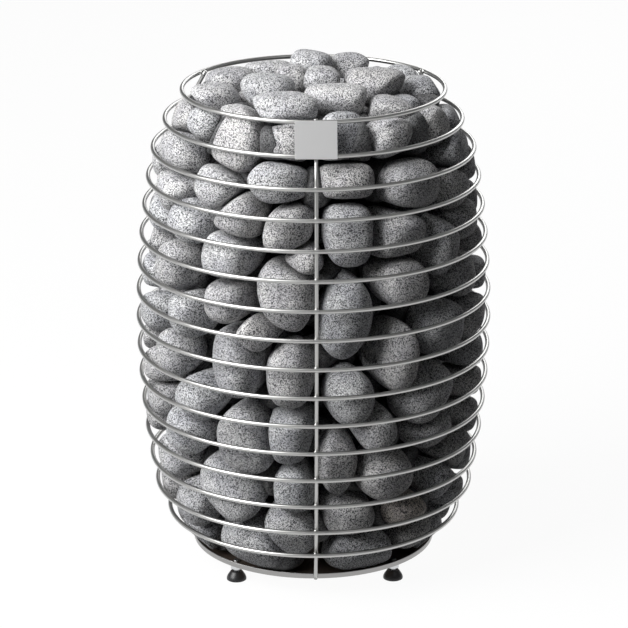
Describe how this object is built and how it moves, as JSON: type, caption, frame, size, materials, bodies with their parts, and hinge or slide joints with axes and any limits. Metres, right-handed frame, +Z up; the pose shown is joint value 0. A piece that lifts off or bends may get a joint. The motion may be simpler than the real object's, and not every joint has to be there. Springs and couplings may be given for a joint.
{
  "type": "sauna heater stove",
  "caption": "Round floor-standing electric sauna heater: a barrel-shaped stainless wire cage on a base pan with levelling feet, heaped with rounded grey stones.",
  "frame": {"origin": "on the floor, under the middle of the cage", "axes": "+Z up along the cage's axis, name plate towards -Y, +X to the right seen from the front"},
  "size_m": [0.41, 0.41, 0.5906],
  "materials": {
    "wire_steel": "satin drawn stainless wire",
    "plate_steel": "satin stainless sheet, bare",
    "pan_steel": "polished stainless sheet",
    "dark_steel": "heat-darkened steel sheet",
    "element_steel": "heat-darkened steel tube",
    "zinc_steel": "zinc-plated steel",
    "rubber": "matt black rubber",
    "ceramic": "glazed steatite",
    "stone": "tumbled, finely speckled grey rock"
  },
  "bodies": {
    "heater": {"ring_01": "wire_steel", "ring_02": "wire_steel", "ring_03": "wire_steel", "ring_04": "wire_steel", "ring_05": "wire_steel", "ring_06": "wire_steel", "ring_07": "wire_steel", "ring_08": "wire_steel", "ring_09": "wire_steel", "ring_10": "wire_steel", "ring_11": "wire_steel", "ring_12": "wire_steel", "ring_13": "wire_steel", "ring_14": "wire_steel", "ring_15": "wire_steel", "ring_16": "wire_steel", "post_front": "wire_steel", "post_right": "wire_steel", "post_left": "wire_steel", "name_plate": "plate_steel", "base_pan": "pan_steel", "terminal_housing": "dark_steel", "bottom_cover": "dark_steel", "terminal_block": "ceramic", "cable_grommet": "rubber", "heating_element_1": "element_steel", "heating_element_2": "element_steel", "heating_element_3": "element_steel", "foot_nut_1": "zinc_steel", "foot_nut_2": "zinc_steel", "foot_nut_3": "zinc_steel", "foot_nut_4": "zinc_steel", "core_stones": "stone", "stone_course_01": "stone", "stone_course_02": "stone", "stone_course_03": "stone", "stone_course_04": "stone", "stone_course_05": "stone", "crown_stone_01": "stone", "crown_stone_02": "stone", "crown_stone_03": "stone", "crown_stone_04": "stone", "crown_stone_05": "stone", "crown_stone_06": "stone", "crown_stone_07": "stone", "crown_stone_08": "stone", "crown_stone_09": "stone", "crown_stone_10": "stone", "crown_stone_11": "stone", "crown_stone_12": "stone", "crown_stone_13": "stone", "crown_stone_14": "stone"},
    "foot_1": {"foot_pad_1": "rubber", "foot_stud_1": "zinc_steel"},
    "foot_2": {"foot_pad_2": "rubber", "foot_stud_2": "zinc_steel"},
    "foot_3": {"foot_pad_3": "rubber", "foot_stud_3": "zinc_steel"},
    "foot_4": {"foot_pad_4": "rubber", "foot_stud_4": "zinc_steel"}
  },
  "joints": [
    {"name": "foot_1_level", "type": "slide", "parent": "heater", "child": "foot_1", "axis": [0, 0, -1], "range_m": [0, 0.006]},
    {"name": "foot_2_level", "type": "slide", "parent": "heater", "child": "foot_2", "axis": [0, 0, -1], "range_m": [0, 0.006]},
    {"name": "foot_3_level", "type": "slide", "parent": "heater", "child": "foot_3", "axis": [0, 0, -1], "range_m": [0, 0.006]},
    {"name": "foot_4_level", "type": "slide", "parent": "heater", "child": "foot_4", "axis": [0, 0, -1], "range_m": [0, 0.006]}
  ]
}
